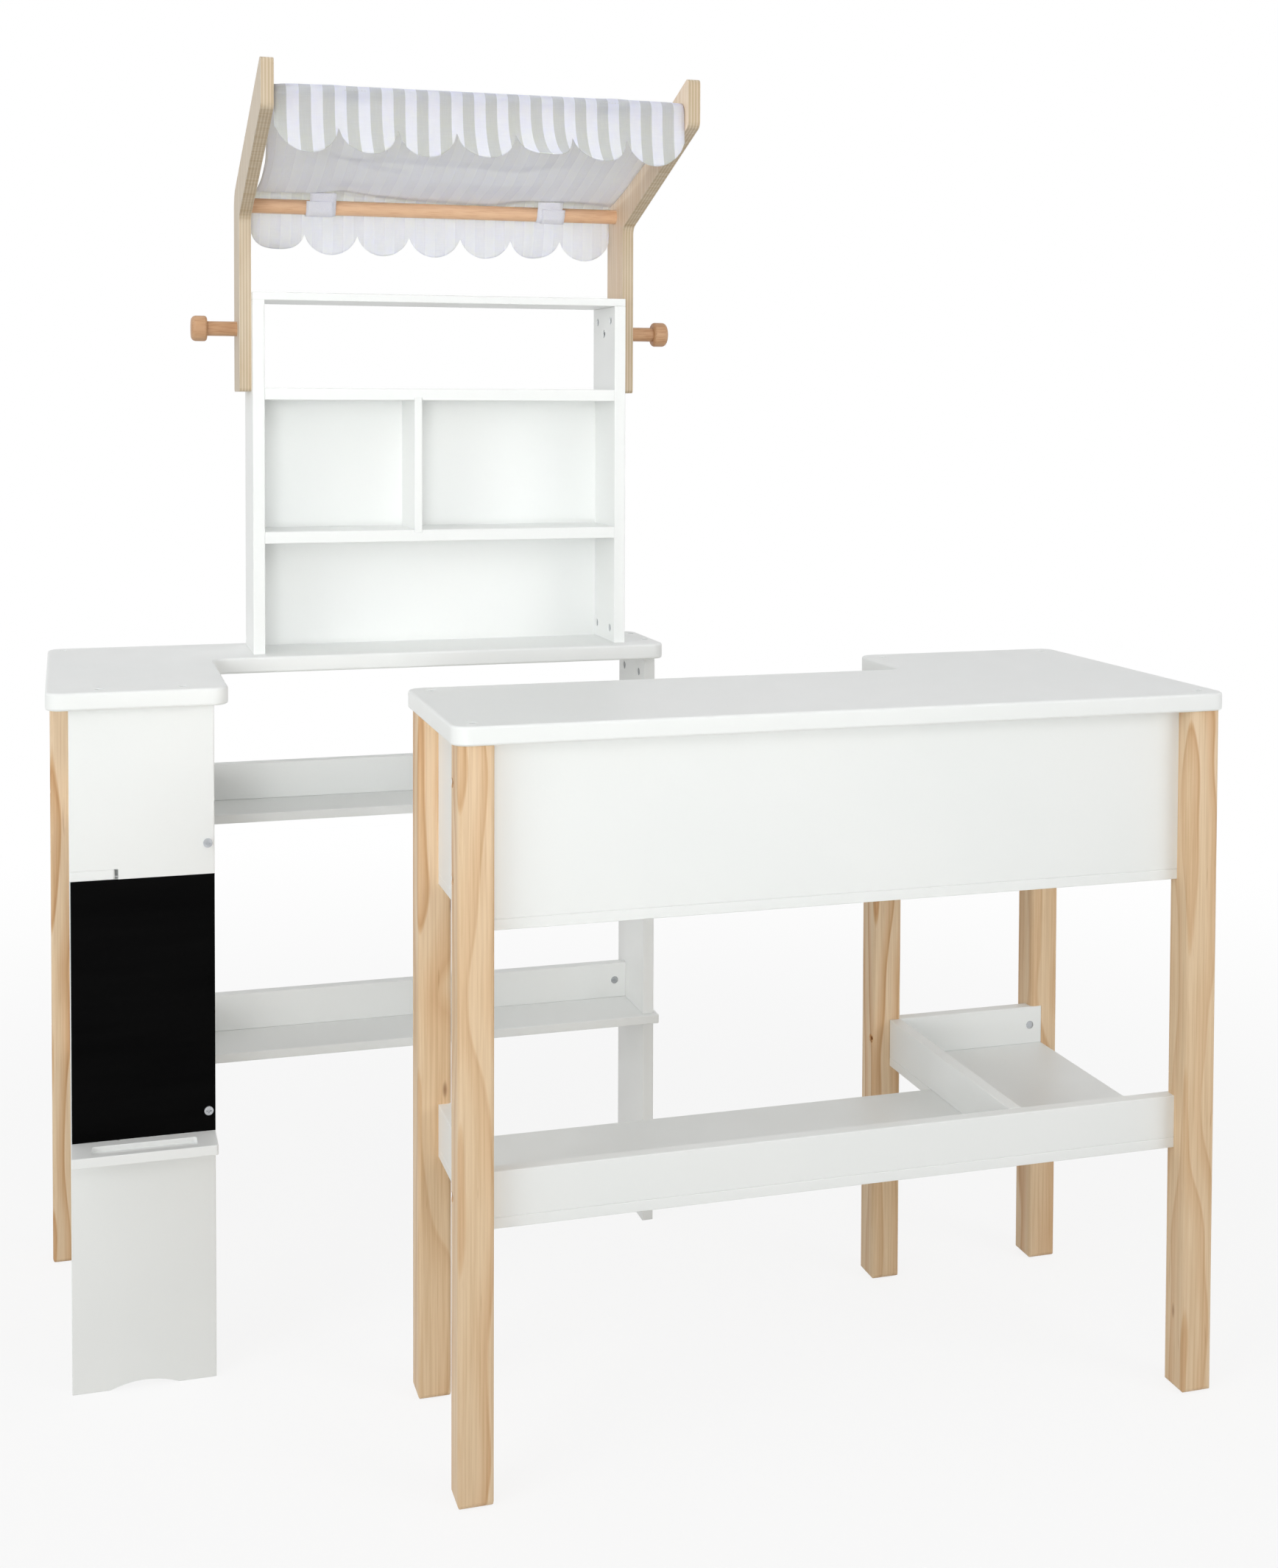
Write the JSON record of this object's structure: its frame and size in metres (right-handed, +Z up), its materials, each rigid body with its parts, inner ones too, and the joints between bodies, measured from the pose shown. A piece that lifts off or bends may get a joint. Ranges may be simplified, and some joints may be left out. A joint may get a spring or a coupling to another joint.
{
  "type": "toy market stall",
  "caption": "Child's wooden market stall: L-shaped counter and shelf unit with hutch, chalkboard, hanging pegs and a scalloped striped cloth awning over two dowels.",
  "frame": {"origin": "on the floor, in the middle of the space the two units take up together", "axes": "+X to the customer's right, +Y away from the customer towards the shelf unit, +Z up"},
  "size_m": [1.007, 0.578, 1.194],
  "materials": {
    "white_paint": "painted white, satin",
    "pine": "clear-coated pine, satin",
    "beech": "bare beech, smooth",
    "birch_plywood": "bare birch plywood",
    "blackboard": "matt blackboard paint",
    "white_enamel": "satin white cover",
    "zinc": "zinc plated",
    "striped_cotton": "woven cotton, striped",
    "hook_and_loop": "hook-and-loop tape"
  },
  "bodies": {
    "shelf_unit": {"shelf_top": "white_paint", "blackboard_panel": "white_paint", "side_panel": "white_paint", "upper_shelf": "white_paint", "lower_shelf": "white_paint", "upper_back_rail": "white_paint", "upper_left_rail": "white_paint", "upper_inner_rail": "white_paint", "lower_back_rail": "white_paint", "lower_left_rail": "white_paint", "lower_inner_rail": "white_paint", "hutch_left_side": "white_paint", "hutch_right_side": "white_paint", "hutch_top": "white_paint", "hutch_upper_shelf": "white_paint", "hutch_middle_shelf": "white_paint", "hutch_divider": "white_paint", "hutch_back": "white_paint", "shelf_leg": "pine", "shelf_top_bolts": "white_enamel", "shelf_rail_bolts": "zinc", "shelf_barrel_nuts": "zinc", "shelf_screws": "zinc", "panel_screws": "zinc", "hutch_bolts": "zinc", "peg_screws": "zinc", "shelf_dowels": "beech", "front_dowel": "beech", "rear_dowel": "beech", "left_peg": "beech", "right_peg": "beech", "left_arm": "birch_plywood", "right_arm": "birch_plywood", "blackboard": "blackboard", "awning": "striped_cotton", "awning_straps": "hook_and_loop"},
    "counter": {"counter_top": "white_paint", "counter_front_panel": "white_paint", "counter_end_panel": "white_paint", "counter_wing_panel": "white_paint", "counter_back_panel": "white_paint", "counter_board": "white_paint", "tray_board": "white_paint", "tray_front_rail": "white_paint", "tray_end_rail": "white_paint", "tray_wing_rail": "white_paint", "tray_back_rail": "white_paint", "leg_front_left": "pine", "leg_back_left": "pine", "leg_front_right": "pine", "leg_wing_left": "pine", "leg_wing_right": "pine", "counter_top_bolts": "white_enamel", "counter_rail_bolts": "zinc", "counter_barrel_nuts": "zinc", "counter_screws": "zinc", "counter_dowels": "beech"}
  },
  "joints": [
    {"name": "counter_slide", "type": "slide", "parent": "shelf_unit", "child": "counter", "axis": [0, 1, 0], "range_m": [-0.3, 0.2]}
  ]
}
